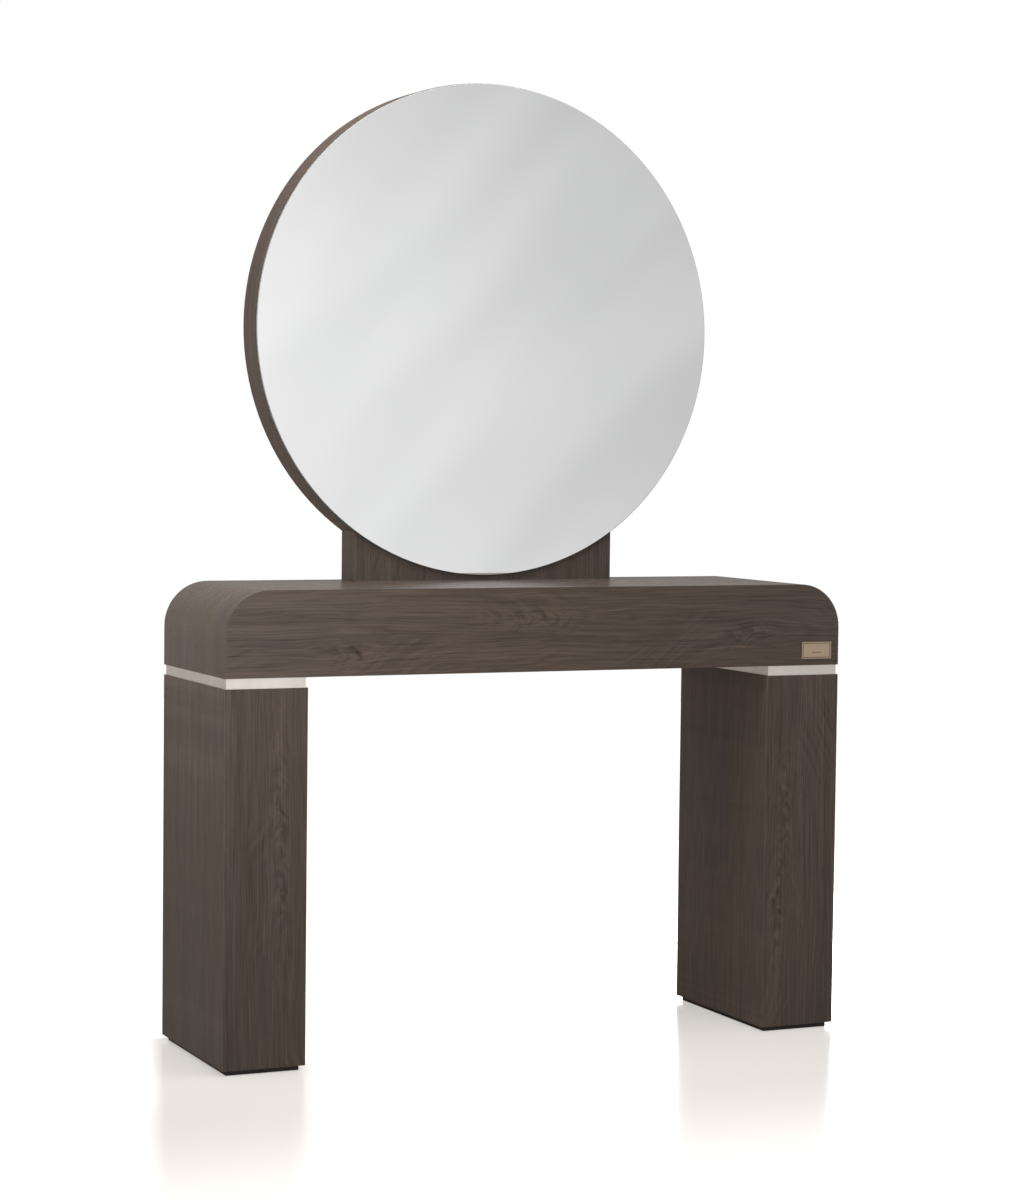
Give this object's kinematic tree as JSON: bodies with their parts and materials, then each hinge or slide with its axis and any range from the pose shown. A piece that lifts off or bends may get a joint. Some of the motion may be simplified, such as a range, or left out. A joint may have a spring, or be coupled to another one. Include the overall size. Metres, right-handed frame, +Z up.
{
  "type": "salon styling station",
  "caption": "Salon styling station: a dark wood console with rounded ends on box legs with metal reveals, and a round back-lit mirror on a flat column.",
  "frame": {"origin": "on the floor, under the middle of the console", "axes": "+X along the console to the right of a person who faces the mirror, +Y towards the back, +Z up"},
  "size_m": [1.2, 0.343, 1.747],
  "materials": {
    "wood_laminate": "satin laminate with a dark wood grain",
    "raw_board": "raw fibreboard",
    "dark_plinth": "dark laminate, matt",
    "brushed_aluminium": "brushed",
    "channel_aluminium": "extruded, anodised",
    "plate_metal": "brushed, champagne tint",
    "zinc_steel": "zinc plated",
    "foot_plastic": "moulded",
    "mirror": "silvered float glass, ground edge",
    "foam_tape": "closed-cell foam",
    "cover_metal": "powder coat",
    "driver_plastic": "moulded",
    "led_board": "white circuit board",
    "opal_plastic": "opal diffuser",
    "lead_rubber": "flexible lead",
    "black_plastic": "moulded"
  },
  "bodies": {
    "station": {"console_front_panel": "wood_laminate", "console_back_panel": "wood_laminate", "back_panel_screws": "zinc_steel", "console_shell": "raw_board", "console_laminate_wrap": "wood_laminate", "console_bottom_panel": "raw_board", "console_rib_1": "raw_board", "console_rib_2": "raw_board", "console_rib_3": "raw_board", "console_rib_4": "raw_board", "name_plate": "plate_metal", "left_leg_front_panel": "wood_laminate", "left_leg_back_panel": "wood_laminate", "left_leg_outer_panel": "wood_laminate", "left_leg_inner_panel": "wood_laminate", "left_leg_top_board": "raw_board", "left_leg_bottom_board": "raw_board", "left_leg_plinth": "dark_plinth", "left_reveal_band": "brushed_aluminium", "left_spacer_core": "raw_board", "right_leg_front_panel": "wood_laminate", "right_leg_back_panel": "wood_laminate", "right_leg_outer_panel": "wood_laminate", "right_leg_inner_panel": "wood_laminate", "right_leg_top_board": "raw_board", "right_leg_bottom_board": "raw_board", "right_leg_plinth": "dark_plinth", "right_reveal_band": "brushed_aluminium", "right_spacer_core": "raw_board", "leg_bolts": "zinc_steel", "leg_bolt_inserts": "zinc_steel", "foot_inserts": "zinc_steel", "mirror_front_board": "wood_laminate", "mirror_rear_board": "wood_laminate", "mirror_rim_band": "wood_laminate", "column_left_strip": "wood_laminate", "column_right_strip": "wood_laminate", "column_base_block": "raw_board", "column_left_stile": "raw_board", "column_right_stile": "raw_board", "column_bolts": "zinc_steel", "column_bolt_inserts": "zinc_steel", "mirror_glass": "mirror", "mirror_mounting_tape": "foam_tape", "service_cover": "cover_metal", "service_cover_screws": "zinc_steel", "led_driver": "driver_plastic", "led_channel": "channel_aluminium", "led_strip": "led_board", "led_diffuser": "opal_plastic", "light_lead": "lead_rubber", "inlet_lead": "lead_rubber", "driver_lead": "lead_rubber", "power_inlet": "black_plastic", "switch_housing": "black_plastic"},
    "foot_front_left": {"foot_front_left": "foot_plastic"},
    "foot_back_left": {"foot_back_left": "foot_plastic"},
    "foot_front_right": {"foot_front_right": "foot_plastic"},
    "foot_back_right": {"foot_back_right": "foot_plastic"},
    "rocker": {"switch_rocker": "black_plastic"}
  },
  "joints": [
    {"name": "foot_front_left_level", "type": "slide", "parent": "station", "child": "foot_front_left", "axis": [0, 0, -1], "range_m": [0, 0.01]},
    {"name": "foot_back_left_level", "type": "slide", "parent": "station", "child": "foot_back_left", "axis": [0, 0, -1], "range_m": [0, 0.01]},
    {"name": "foot_front_right_level", "type": "slide", "parent": "station", "child": "foot_front_right", "axis": [0, 0, -1], "range_m": [0, 0.01]},
    {"name": "foot_back_right_level", "type": "slide", "parent": "station", "child": "foot_back_right", "axis": [0, 0, -1], "range_m": [0, 0.01]},
    {"name": "switch_rock", "type": "hinge", "parent": "station", "child": "rocker", "pos_m": [0.33, -0.11, 0.683], "axis": [0, 1, 0], "range_deg": [0, 22]}
  ]
}
